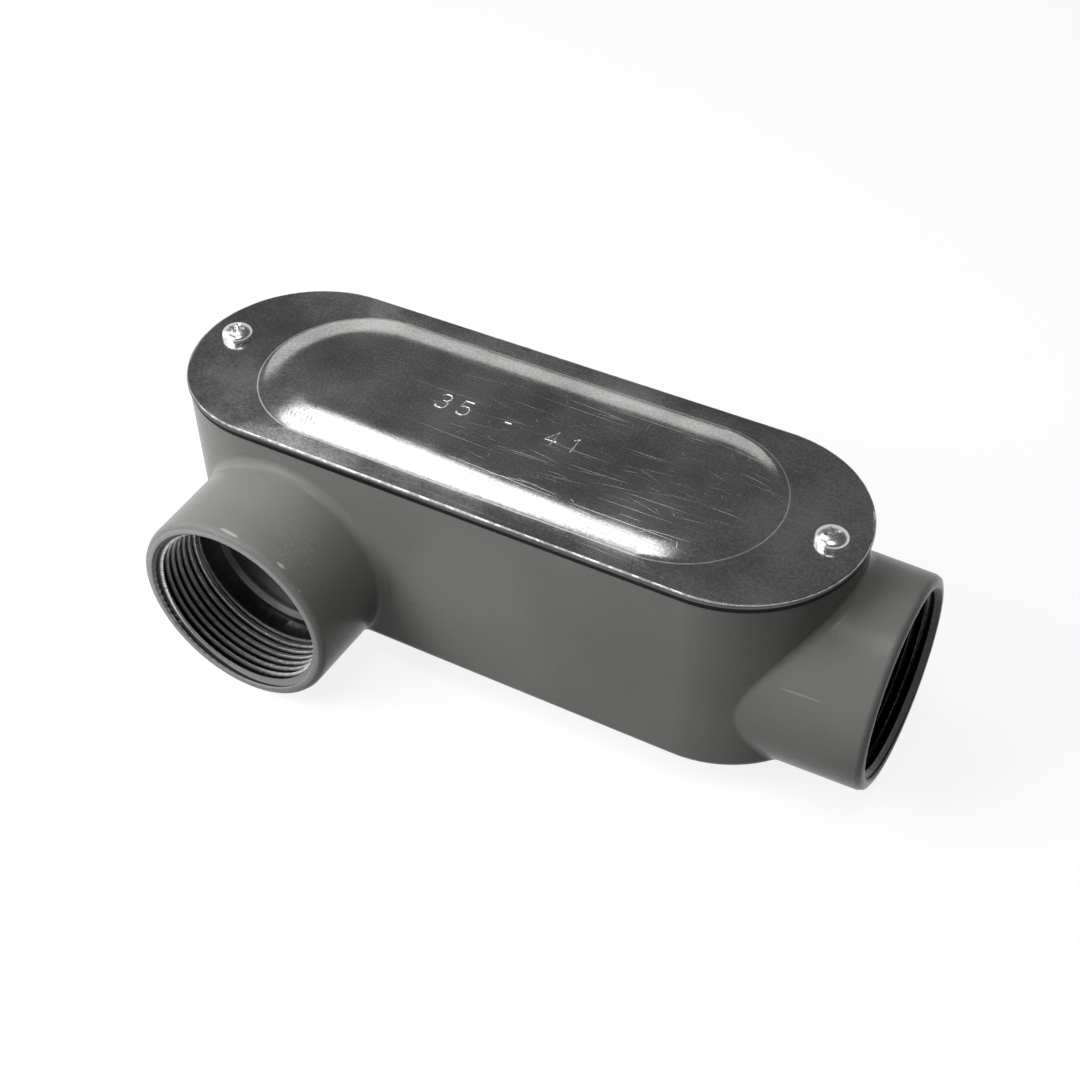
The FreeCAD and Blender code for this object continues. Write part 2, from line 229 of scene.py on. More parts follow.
def build_thread_tree():
    """A V-shaped ridge wound on a tapering helix along +Z: what a tap takes out of a bore.

    It grows out of its foot over a part of its length, so that the thread runs out in depth at its inner end.
    """
    tree = bpy.data.node_groups.new("tapped_thread", "GeometryNodeTree")
    tree.is_modifier = True
    tree.interface.new_socket(name="Geometry", in_out="OUTPUT", socket_type="NodeSocketGeometry")
    add_input(tree, "turns", "NodeSocketFloat", 8.0)
    add_input(tree, "length", "NodeSocketFloat", 0.0176)
    add_input(tree, "inner_radius", "NodeSocketFloat", 0.022)
    add_input(tree, "mouth_radius", "NodeSocketFloat", 0.0225)
    add_input(tree, "ridge_radius", "NodeSocketFloat", 0.001)
    add_input(tree, "run_out", "NodeSocketFloat", 0.1)
    add_input(tree, "steps_per_turn", "NodeSocketInt", 96)
    tree.interface.new_socket(name="finish", in_out="INPUT", socket_type="NodeSocketMaterial")
    nodes, links = tree.nodes, tree.links
    given = nodes.new("NodeGroupInput")
    result = nodes.new("NodeGroupOutput")
    spiral = nodes.new("GeometryNodeCurveSpiral")
    spiral.inputs["Reverse"].default_value = True
    upright = nodes.new("GeometryNodeSetCurveNormal")
    upright.mode = "Z_UP"
    along = nodes.new("GeometryNodeSplineParameter")
    fade = nodes.new("ShaderNodeMapRange")
    fade.inputs["To Min"].default_value = 0.1       # so thin at the thread's inner end
    profile = nodes.new("GeometryNodeCurvePrimitiveCircle")
    profile.inputs["Resolution"].default_value = 3
    foot = nodes.new("GeometryNodeTransform")
    shift = nodes.new("ShaderNodeCombineXYZ")
    half = nodes.new("ShaderNodeMath")              # a triangle's side lies half its radius from its middle
    half.operation = "MULTIPLY"
    half.inputs[1].default_value = 0.5
    sweep = nodes.new("GeometryNodeCurveToMesh")
    sweep.inputs["Fill Caps"].default_value = True
    realize = nodes.new("GeometryNodeRealizeInstances")
    finish = nodes.new("GeometryNodeSetMaterial")
    links.new(given.outputs["turns"], spiral.inputs["Rotations"])
    links.new(given.outputs["steps_per_turn"], spiral.inputs["Resolution"])
    links.new(given.outputs["length"], spiral.inputs["Height"])
    links.new(given.outputs["inner_radius"], spiral.inputs["Start Radius"])
    links.new(given.outputs["mouth_radius"], spiral.inputs["End Radius"])
    links.new(given.outputs["ridge_radius"], profile.inputs["Radius"])
    links.new(given.outputs["run_out"], fade.inputs["From Max"])
    links.new(along.outputs["Factor"], fade.inputs["Value"])
    links.new(spiral.outputs["Curve"], upright.inputs["Curve"])
    links.new(upright.outputs["Curve"], sweep.inputs["Curve"])
    links.new(profile.outputs["Curve"], foot.inputs["Geometry"])
    links.new(given.outputs["ridge_radius"], half.inputs[0])
    links.new(half.outputs["Value"], shift.inputs["X"])
    links.new(shift.outputs["Vector"], foot.inputs["Translation"])
    links.new(foot.outputs["Geometry"], sweep.inputs["Profile Curve"])
    links.new(fade.outputs["Result"], sweep.inputs["Scale"])
    links.new(sweep.outputs["Mesh"], realize.inputs["Geometry"])
    links.new(realize.outputs["Geometry"], finish.inputs["Geometry"])
    links.new(given.outputs["finish"], finish.inputs["Material"])
    links.new(finish.outputs["Geometry"], result.inputs["Geometry"])
    return tree


def link_chain(tree, *pairs):
    """Link sockets two by two."""
    for source, target in pairs:
        tree.links.new(source, target)


def math_node(tree, operation, first, second=None, third=None, clamp=False):
    """A Math node fed by sockets or numbers, and its output."""
    node = tree.nodes.new("ShaderNodeMath")
    node.operation = operation
    node.use_clamp = clamp
    for i, value in enumerate((first, second, third)):
        if value is None:
            continue
        if isinstance(value, (int, float)):
            node.inputs[i].default_value = value
        else:
            tree.links.new(value, node.inputs[i])
    return node.outputs["Value"]


def ramp(tree, value, from_low, from_high, to_low=0.0, to_high=1.0):
    """A clamped, soft step of a value between two levels."""
    node = tree.nodes.new("ShaderNodeMapRange")
    node.interpolation_type = "SMOOTHSTEP"
    for name, number in (("From Min", from_low), ("From Max", from_high), ("To Min", to_low), ("To Max", to_high)):
        if isinstance(number, (int, float)):
            node.inputs[name].default_value = number
        else:
            tree.links.new(number, node.inputs[name])
    tree.links.new(value, node.inputs["Value"])
    return node.outputs["Result"]


def blend_colors(tree, mask, first, second):
    """Mix two colours, given as sockets or numbers, by a mask."""
    node = tree.nodes.new("ShaderNodeMix")
    node.data_type = "RGBA"
    tree.links.new(mask, node.inputs["Factor"])
    for name, color in (("A", first), ("B", second)):
        socket = [item for item in node.inputs if item.name == name and item.type == "RGBA"][0]
        if isinstance(color, tuple):
            socket.default_value = (*color, 1)
        else:
            tree.links.new(color, socket)
    return [item for item in node.outputs if item.type == "RGBA"][0]


def noise(tree, vector, scale, detail=2.0, roughness=0.5):
    """Noise of so many lumps to a metre."""
    node = tree.nodes.new("ShaderNodeTexNoise")
    node.inputs["Scale"].default_value = scale
    node.inputs["Detail"].default_value = detail
    node.inputs["Roughness"].default_value = roughness
    tree.links.new(vector, node.inputs["Vector"])
    return node.outputs["Fac"]


def bump(tree, height, distance, strength=1.0):
    """A bump of a height in metres, and its normal."""
    node = tree.nodes.new("ShaderNodeBump")
    node.inputs["Distance"].default_value = distance
    node.inputs["Strength"].default_value = strength
    tree.links.new(height, node.inputs["Height"])
    return node.outputs["Normal"]


def new_material(name):
    """A material with its tree, its shader and the object's coordinates."""
    material = bpy.data.materials.new(name)
    material.use_nodes = True
    tree = material.node_tree
    place = tree.nodes.new("ShaderNodeTexCoord").outputs["Object"]
    return material, tree, tree.nodes["Principled BSDF"], place


def new_group(name, inputs, outputs):
    """An empty shader node group with named sockets."""
    tree = bpy.data.node_groups.new(name, "ShaderNodeTree")
    for label, kind, value in inputs:
        socket = tree.interface.new_socket(name=label, in_out="INPUT", socket_type=kind)
        if value is not None:
            socket.default_value = value
    for label, kind in outputs:
        tree.interface.new_socket(name=label, in_out="OUTPUT", socket_type=kind)
    return tree, tree.nodes.new("NodeGroupInput").outputs, tree.nodes.new("NodeGroupOutput").inputs


def place_group(tree, group, vector, **values):
    """Place a shader node group in a material with its own values."""
    node = tree.nodes.new("ShaderNodeGroup")
    node.node_tree = group
    tree.links.new(vector, node.inputs["place"])
    for name, value in values.items():
        node.inputs[name].default_value = value
    return node.outputs


def build_scratches():
    """Straight fine scratches: in each long cell at most one, of its own length, slant and brightness."""
    tree, given, result = new_group("fine_scratches", [
        ("place", "NodeSocketVector", None), ("turn", "NodeSocketFloat", 0.0), ("spacing", "NodeSocketFloat", 0.002),
        ("length", "NodeSocketFloat", 0.02), ("width", "NodeSocketFloat", 0.05), ("amount", "NodeSocketFloat", 0.3),
        ("slant", "NodeSocketFloat", 0.4), ("seed", "NodeSocketFloat", 0.0)], [("mask", "NodeSocketFloat")])
    turned = tree.nodes.new("ShaderNodeVectorRotate")
    turned.rotation_type = "Z_AXIS"
    split = tree.nodes.new("ShaderNodeSeparateXYZ")
    link_chain(tree, (given["place"], turned.inputs["Vector"]), (given["turn"], turned.inputs["Angle"]),
               (turned.outputs["Vector"], split.inputs["Vector"]))
    across = math_node(tree, "DIVIDE", split.outputs["Y"], given["spacing"])
    row = math_node(tree, "FLOOR", across)
    row_seed = math_node(tree, "ADD", row, given["seed"])
    row_noise = tree.nodes.new("ShaderNodeTexWhiteNoise")
    row_noise.noise_dimensions = "1D"
    tree.links.new(row_seed, row_noise.inputs["W"])
    shift = math_node(tree, "MULTIPLY", row_noise.outputs["Value"], 37.0)
    along = math_node(tree, "ADD", math_node(tree, "DIVIDE", split.outputs["X"], given["length"]), shift)
    cell = tree.nodes.new("ShaderNodeCombineXYZ")
    link_chain(tree, (math_node(tree, "FLOOR", along), cell.inputs["X"]), (row_seed, cell.inputs["Y"]))
    cell_noise = tree.nodes.new("ShaderNodeTexWhiteNoise")
    cell_noise.noise_dimensions = "2D"
    chance = tree.nodes.new("ShaderNodeSeparateColor")
    link_chain(tree, (cell.outputs["Vector"], cell_noise.inputs["Vector"]),
               (cell_noise.outputs["Color"], chance.inputs["Color"]))
    there = math_node(tree, "LESS_THAN", chance.outputs["Red"], given["amount"])
    share = math_node(tree, "MULTIPLY_ADD", chance.outputs["Green"], 0.7, 0.3)
    reach = math_node(tree, "DIVIDE", math_node(tree, "FRACT", along), share)
    fade = math_node(tree, "MULTIPLY", math_node(tree, "SUBTRACT", 1.0, reach, clamp=True), reach)
    fade = math_node(tree, "MULTIPLY", fade, 4.0, clamp=True)
    lean = math_node(tree, "MULTIPLY", math_node(tree, "SUBTRACT", chance.outputs["Blue"], 0.5), given["slant"])
    middle = math_node(tree, "MULTIPLY_ADD", lean, math_node(tree, "SUBTRACT", reach, 0.5), 0.5)
    off = math_node(tree, "ABSOLUTE", math_node(tree, "SUBTRACT", math_node(tree, "FRACT", across), middle))
    line = math_node(tree, "SUBTRACT", 1.0, math_node(tree, "DIVIDE", off, given["width"]), clamp=True)
    tree.links.new(math_node(tree, "MULTIPLY", math_node(tree, "MULTIPLY", line, there), fade), result["mask"])
    return tree


def build_mottle():
    """Slow and fast changes of tone over a surface: a shade round one half, and a fine grain's height."""
    tree, given, result = new_group("mottle", [
        ("place", "NodeSocketVector", None), ("cloud_scale", "NodeSocketFloat", 30.0),
        ("grain_scale", "NodeSocketFloat", 1500.0)], [("cloud", "NodeSocketFloat"), ("grain", "NodeSocketFloat")])
    for label, socket, detail in (("cloud", "cloud_scale", 4.0), ("grain", "grain_scale", 2.0)):
        node = tree.nodes.new("ShaderNodeTexNoise")
        node.inputs["Detail"].default_value = detail
        link_chain(tree, (given["place"], node.inputs["Vector"]), (given[socket], node.inputs["Scale"]),
                   (node.outputs["Fac"], result[label]))
    return tree


scratches_group = build_scratches()
mottle_group = build_mottle()


def distance_to(tree, vector, spot):
    """How far a place is from one spot, which is given in mm."""
    away = tree.nodes.new("ShaderNodeVectorMath")
    away.operation = "DISTANCE"
    tree.links.new(vector, away.inputs[0])
    away.inputs[1].default_value = tuple(value * MM for value in spot)
    return away.outputs["Value"]


def near_spot(tree, vector, spot, radius):
    """A mask round one spot, in mm, that fades to its radius."""
    return ramp(tree, distance_to(tree, vector, spot), radius * MM, radius * 0.4 * MM)


def near_line(tree, vector, start, end, width):
    """A mask along a straight mark between two places in mm, so wide at its middle and pointed at its ends."""
    total = math_node(tree, "ADD", distance_to(tree, vector, start), distance_to(tree, vector, end))
    length = (Vector(end) - Vector(start)).length
    past = math_node(tree, "SUBTRACT", total, length * MM)
    return ramp(tree, past, 2 * width * width / length * MM, 0.3 * width * width / length * MM)


PARTING_LINE = ((-21.5, -24.45, 11.4), (-5.0, -24.55, 12.0), 0.36, 0.28)   # ends in mm, width in mm, strength
RIM_NICKS = (                  # the same for each nick by the side hub's rim; a dark one has a strength below 0
    ((-135.4, -53.0, 22.9), (-132.5, -53.0, 20.8), 0.75, 1.0),
    ((-150.8, -53.6, 27.1), (-144.6, -53.9, 26.5), 0.6, 0.5),
    ((-129.0, -54.0, 17.0), (-128.5, -54.0, 16.4), 0.6, 0.8),
    ((-139.5, -47.0, 25.2), (-139.1, -46.6, 24.9), 0.3, 0.5),
    ((-160.0, -53.5, 25.6), (-159.5, -53.5, 25.8), 0.3, -0.8),
)
DUST_PLACE, DUST_RADIUS = (-134.0, -47.0, 22.0), 9.0   # mm, dust caught in the paint on the side hub


def make_cast_paint():
    """Satin grey paint, sprayed over a cast skin: a slight orange peel, dust, painted glints of its sparkle and paler
    mouth faces.
    """
    material, tree, shader, place = new_material("cast_paint")
    mottle = place_group(tree, mottle_group, place, cloud_scale=22.0, grain_scale=1300.0)
    split = tree.nodes.new("ShaderNodeSeparateXYZ")
    tree.links.new(place, split.inputs["Vector"])
    end_x, side_y = MOUTHS["end"][0].x, MOUTHS["side"][0].y
    # A paler tone on the hubs' mouth faces.
    mouths = math_node(tree, "MAXIMUM", ramp(tree, split.outputs["X"], (end_x - 0.25) * MM, (end_x - 0.05) * MM),
                       ramp(tree, split.outputs["Y"], (side_y + 0.25) * MM, (side_y + 0.05) * MM))
    cloud = ramp(tree, mottle["cloud"], 0.3, 0.7)
    paint = blend_colors(tree, cloud, (0.196, 0.195, 0.189), (0.232, 0.231, 0.224))
    paint = blend_colors(tree, mouths, paint, (0.33, 0.33, 0.325))
    # Fine pale dots all over: painted glints of the paint's sparkle, joined below with the dust on the side hub.
    glints_and_dust = ramp(tree, noise(tree, place, 2600.0, 1.0), 0.72, 0.80, 0.0, 0.6)
    dusty = near_spot(tree, place, DUST_PLACE, DUST_RADIUS)
    grains = ramp(tree, noise(tree, place, 1900.0, 3.0, 0.7), 0.50, 0.66, 0.0, 0.55)
    dust = math_node(tree, "MULTIPLY", dusty, grains)
    glints_and_dust = math_node(tree, "MAXIMUM", glints_and_dust, dust)
    bared = None
    for start, end, width, strength in (PARTING_LINE, *RIM_NICKS):
        line = near_line(tree, place, start, end, width)
        if strength < 0:
            paint = blend_colors(tree, line, paint, (0.05, 0.05, 0.05))
            continue
        line = math_node(tree, "MULTIPLY", line, strength)
        bared = line if bared is None else math_node(tree, "MAXIMUM", bared, line)
    paint = blend_colors(tree, glints_and_dust, paint, (0.34, 0.34, 0.335))
    paint = blend_colors(tree, bared, paint, (0.62, 0.62, 0.61))
    tree.links.new(paint, shader.inputs["Base Color"])
    tree.links.new(ramp(tree, mottle["grain"], 0.25, 0.75, 0.22, 0.32), shader.inputs["Roughness"])
    peel = math_node(tree, "MULTIPLY_ADD", noise(tree, place, 620.0, 2.0), 0.7, mottle["grain"])
    peel = math_node(tree, "MULTIPLY_ADD", bared, 3.0, peel)
    tree.links.new(bump(tree, peel, 0.00004, 0.5), shader.inputs["Normal"])
    shader.inputs["Specular IOR Level"].default_value = 0.1
    return material


SIDE_BORE_Y = -30.0            # mm, bore faces past this y are the side hub's


def make_bare_thread():
    """Aluminium as the tap left it: bright at the crests, with painted shade in the roots."""
    material, tree, shader, place = new_material("bare_thread")
    side_x, side_y = MOUTHS["side"][0].x, MOUTHS["side"][0].y
    split = tree.nodes.new("ShaderNodeSeparateXYZ")
    tree.links.new(place, split.inputs["Vector"])
    in_side_hub = math_node(tree, "LESS_THAN", split.outputs["Y"], SIDE_BORE_Y * MM)
    from_side = math_node(tree, "SUBTRACT", split.outputs["X"], side_x * MM)
    chosen = tree.nodes.new("ShaderNodeMix")
    link_chain(tree, (in_side_hub, chosen.inputs["Factor"]), (split.outputs["Y"], chosen.inputs["A"]),
               (from_side, chosen.inputs["B"]))
    square = math_node(tree, "MULTIPLY", chosen.outputs["Result"], chosen.outputs["Result"])
    radius = math_node(tree, "SQRT", math_node(tree, "MULTIPLY_ADD", split.outputs["Z"], split.outputs["Z"], square))
    # Painted shade: darker from the crests towards the thread's roots.
    root = ramp(tree, radius, (BORE_RADIUS + 0.1) * MM, (BORE_RADIUS + 0.85) * MM)
    # Painted shade past the last turn of the side hub's thread, and in the whole bore of the end hub.
    side_end = side_y + THREAD_LENGTH
    unlit = ramp(tree, split.outputs["Y"], (side_end - 1.2) * MM, (side_end - 0.4) * MM)
    root = math_node(tree, "MAXIMUM", root, math_node(tree, "MULTIPLY", unlit, 0.88))
    mottle = place_group(tree, mottle_group, place, cloud_scale=160.0, grain_scale=2500.0)
    bright = blend_colors(tree, ramp(tree, mottle["cloud"], 0.3, 0.7), (0.66, 0.66, 0.65), (0.86, 0.86, 0.84))
    tree.links.new(blend_colors(tree, root, bright, (0.035, 0.035, 0.033)), shader.inputs["Base Color"])
    shader.inputs["Metallic"].default_value = 1.0
    tree.links.new(ramp(tree, mottle["grain"], 0.3, 0.7, 0.30, 0.48), shader.inputs["Roughness"])
    tree.links.new(bump(tree, mottle["grain"], 0.00002, 0.5), shader.inputs["Normal"])
    return material


cast_paint = make_cast_paint()
bare_thread = make_bare_thread()
RIDGE = 1.25                   # mm, corner to middle of the three-cornered ridge: its sides meet at 60 degrees
THREAD_OUTSIDE = 1.5           # mm, the ridge runs this far past the mouth
RUN_OUT_TURNS = 0.8            # over which the ridge grows to its full size
STEPS_PER_TURN = 144
BORE_OUTSIDE = 2.0             # mm, a bore's cutter runs this far past the mouth
BORE_STEPS = 192
thread_tree = build_thread_tree()


def thread_cutter(name, mouth, outward):
    """The helix that cuts one hub's thread, in place."""
    obj = new_object(name, bpy.data.meshes.new(name))
    cut_length = THREAD_LENGTH + THREAD_OUTSIDE
    turns = cut_length / PITCH
    foot = ROOT_RADIUS - 1.5 * RIDGE
    modifier = obj.modifiers.new("thread", "NODES")
    modifier.node_group = thread_tree
    set_inputs(modifier, turns=turns, length=cut_length * MM, inner_radius=(foot - THREAD_LENGTH * TAPER) * MM,
               mouth_radius=(foot + THREAD_OUTSIDE * TAPER) * MM, ridge_radius=RIDGE * MM,
               run_out=RUN_OUT_TURNS / turns, steps_per_turn=STEPS_PER_TURN, finish=bare_thread)
    settled(obj)
    turn = outward.to_track_quat("Z", "Y").to_matrix().to_4x4()
    obj.data.transform(Matrix.Translation((mouth - outward * THREAD_LENGTH) * MM) @ turn)
    return obj


def bore_cutter(name, mouth, outward):
    """The plain round that cleans one hub's bore up to its bushing."""
    mesh = bmesh.new()
    length = SOCKET_DEPTH + BORE_OUTSIDE
    turn = outward.to_track_quat("Z", "Y").to_matrix().to_4x4()
    place = Matrix.Translation((mouth - outward * (SOCKET_DEPTH - length / 2)) * MM) @ turn
    bmesh.ops.create_cone(mesh, cap_ends=True, segments=BORE_STEPS, radius1=BORE_RADIUS * MM,
                          radius2=BORE_RADIUS * MM, depth=length * MM, matrix=place)
    data = bpy.data.meshes.new(name)
    mesh.to_mesh(data)
    mesh.free()
    data.materials.append(bare_thread)
    return new_object(name, data)


def faced_outwards(obj):
    """Turn every face of a closed mesh outwards."""
    mesh = bmesh.new()
    mesh.from_mesh(obj.data)
    bmesh.ops.remove_doubles(mesh, verts=mesh.verts, dist=0.0005 * MM)
    bmesh.ops.recalc_face_normals(mesh, faces=mesh.faces)
    mesh.to_mesh(obj.data)
    mesh.free()
    return obj


def cut_away(obj, cutters, crossing=False):
    """Cut closed cutters out of an object, one after the other, and drop them.

    Crossing says that a cutter may cross itself.
    """
    for cutter in cutters:
        cut = obj.modifiers.new("cut", "BOOLEAN")
        cut.operation = "DIFFERENCE"
        cut.solver = "EXACT"
        cut.material_mode = "TRANSFER"
        cut.use_self = crossing
        cut.object = cutter
    settled(obj)
    for cutter in cutters:
        bpy.data.objects.remove(cutter)
    return obj


def smoothed(obj, sharp_degrees=32):
    """Shade a machined or cast skin: smooth on its curves, crisp on its edges, true on its flats."""
    obj.data.shade_smooth()
    obj.data.set_sharp_from_angle(angle=math.radians(sharp_degrees))
    weigh = obj.modifiers.new("weigh", "WEIGHTED_NORMAL")
    weigh.keep_sharp = True
    return settled(obj)


housing = merged_copy("housing", "casting")
housing.data.materials.append(cast_paint)
cutters = []
for hub, (mouth, outward) in MOUTHS.items():
    cutters += [bore_cutter(hub + "_bore", mouth, outward), thread_cutter(hub + "_thread", mouth, outward)]
cut_away(housing, cutters)
smoothed(housing)
for face in housing.data.polygons:     # narrow bore faces keep their own normals
    if housing.data.materials[face.material_index] == bare_thread:
        face.use_smooth = False
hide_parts("housing")
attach(housing, "root")


# --- Gasket -------------------------------------------------------------------------------------------------
# A flat ring cut from black rubber sheet, squeezed between the casting's rim and the cover.
rubber, tree, shader, place = new_material("rubber")
mottle = place_group(tree, mottle_group, place, cloud_scale=60.0, grain_scale=2200.0)
tree.links.new(blend_colors(tree, mottle["cloud"], (0.006, 0.006, 0.006), (0.014, 0.014, 0.013)),
               shader.inputs["Base Color"])
tree.links.new(ramp(tree, mottle["grain"], 0.3, 0.7, 0.55, 0.75), shader.inputs["Roughness"])
tree.links.new(bump(tree, mottle["grain"], 0.00003, 0.4), shader.inputs["Normal"])
shader.inputs["Specular IOR Level"].default_value = 0.15
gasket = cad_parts["gasket"]
gasket.data.materials.clear()
gasket.data.materials.append(rubber)


# --- Cover --------------------------------------------------------------------------------------------------
# Blanked and pressed from bright aluminium sheet: a raised panel, edges rolled over by the die, plain numbers
# struck in, and the scratches of handling. Two screws hold it down on the gasket.
COVER_MIDDLE = Vector((-101.7, 0.0))   # mm
PANEL_RADIUS = 25.0
PANEL_HALF_STRAIGHT = 44.5
PANEL_TOP = 38.0
COVER_TOP = 36.2               # mm, of the flat rim
NUMBER_HEIGHT = 5.2
NUMBER_ADVANCE = 6.0
STROKE_RADIUS = 0.30           # mm, of the six-sided stroke that the punch leaves
STROKES = {                    # a punch's strokes, in shares of its height
    "1": [[(0.14, 0.80), (0.34, 1.0), (0.34, 0.0)]],
    "3": [[(0.05, 0.86), (0.18, 1.0), (0.42, 1.0), (0.56, 0.86), (0.56, 0.68), (0.42, 0.54), (0.25, 0.54)],
          [(0.44, 0.53), (0.58, 0.40), (0.58, 0.16), (0.42, 0.0), (0.16, 0.0), (0.03, 0.15)]],
    "4": [[(0.44, 0.0), (0.44, 1.0), (0.02, 0.32), (0.62, 0.32)]],
    "5": [[(0.54, 1.0), (0.10, 1.0), (0.06, 0.55), (0.20, 0.62), (0.42, 0.62), (0.58, 0.46), (0.58, 0.18),
           (0.42, 0.0), (0.16, 0.0), (0.03, 0.14)]],
    "-": [[(0.12, 0.5), (0.48, 0.5)]],
}
NUMBERS = "35 - 41"
SCRATCHES = (                  # turn, spacing in mm, length in mm, width, amount, slant, seed, brightness
    (0.02, 2.3, 34.0, 0.040, 0.28, 0.9, 3.0, 0.9),
    (-0.10, 2.1, 22.0, 0.040, 0.22, 0.8, 17.0, 0.75),
    (0.16, 3.1, 15.0, 0.026, 0.20, 0.9, 41.0, 0.75),
    (0.03, 1.1, 12.0, 0.060, 0.30, 0.8, 59.0, 0.5),
    (1.05, 3.8, 3.0, 0.030, 0.08, 0.6, 73.0, 0.7),
    (-0.32, 4.2, 9.0, 0.022, 0.09, 0.8, 91.0, 0.6),
)
PRESS_MARKS_X = -148.5         # mm, where the press's stop bit into the panel's shoulder
PRESS_ROWS = (                 # each row's y, half height and pitch in mm, and how dark it is
    (-20.9, 1.5, 1.15, 0.45), (-23.6, 0.28, 0.75, 0.35), (-18.4, 0.3, 1.6, 0.3),
)


def build_stroke_tree():
    """Sweeps a small six-sided section along the edges of a mesh."""
    tree = bpy.data.node_groups.new("punched_strokes", "GeometryNodeTree")
    tree.is_modifier = True
    tree.interface.new_socket(name="Geometry", in_out="INPUT", socket_type="NodeSocketGeometry")
    tree.interface.new_socket(name="Geometry", in_out="OUTPUT", socket_type="NodeSocketGeometry")
    add_input(tree, "stroke_radius", "NodeSocketFloat", 0.0003)
    tree.interface.new_socket(name="finish", in_out="INPUT", socket_type="NodeSocketMaterial")
    nodes, links = tree.nodes, tree.links
    given = nodes.new("NodeGroupInput")
    result = nodes.new("NodeGroupOutput")
    line = nodes.new("GeometryNodeMeshToCurve")
    upright = nodes.new("GeometryNodeSetCurveNormal")
    upright.mode = "Z_UP"
    profile = nodes.new("GeometryNodeCurvePrimitiveCircle")
    profile.inputs["Resolution"].default_value = 6
    sweep = nodes.new("GeometryNodeCurveToMesh")
    sweep.inputs["Fill Caps"].default_value = True
    realize = nodes.new("GeometryNodeRealizeInstances")
    finish = nodes.new("GeometryNodeSetMaterial")
    links.new(given.outputs["Geometry"], line.inputs["Mesh"])
    links.new(line.outputs["Curve"], upright.inputs["Curve"])
    links.new(upright.outputs["Curve"], sweep.inputs["Curve"])
    links.new(given.outputs["stroke_radius"], profile.inputs["Radius"])
    links.new(profile.outputs["Curve"], sweep.inputs["Profile Curve"])
    links.new(sweep.outputs["Mesh"], realize.inputs["Geometry"])
    links.new(realize.outputs["Geometry"], finish.inputs["Geometry"])
    links.new(given.outputs["finish"], finish.inputs["Material"])
    links.new(finish.outputs["Geometry"], result.inputs["Geometry"])
    return tree


def stroke_cutter():
    """All the strokes of the numbers, laid just in the panel's top."""
    mesh = bmesh.new()
    start = COVER_MIDDLE.x - NUMBER_ADVANCE * len(NUMBERS) / 2
    for i, sign in enumerate(NUMBERS):
        for stroke in STROKES.get(sign, []):
            corners = []
            for x, y in stroke:
                place = Vector((start + i * NUMBER_ADVANCE + x * NUMBER_HEIGHT,
                                COVER_MIDDLE.y + (y - 0.5) * NUMBER_HEIGHT, PANEL_TOP + STROKE_RADIUS * 0.35))
                corners.append(mesh.verts.new(place * MM))
            for first, second in zip(corners, corners[1:]):
                mesh.edges.new((first, second))
    data = bpy.data.meshes.new("strokes")
    mesh.to_mesh(data)
    mesh.free()
    obj = new_object("strokes", data)
    modifier = obj.modifiers.new("sweep", "NODES")
    modifier.node_group = build_stroke_tree()
    set_inputs(modifier, stroke_radius=STROKE_RADIUS * MM, finish=struck_metal)
    return faced_outwards(settled(obj))


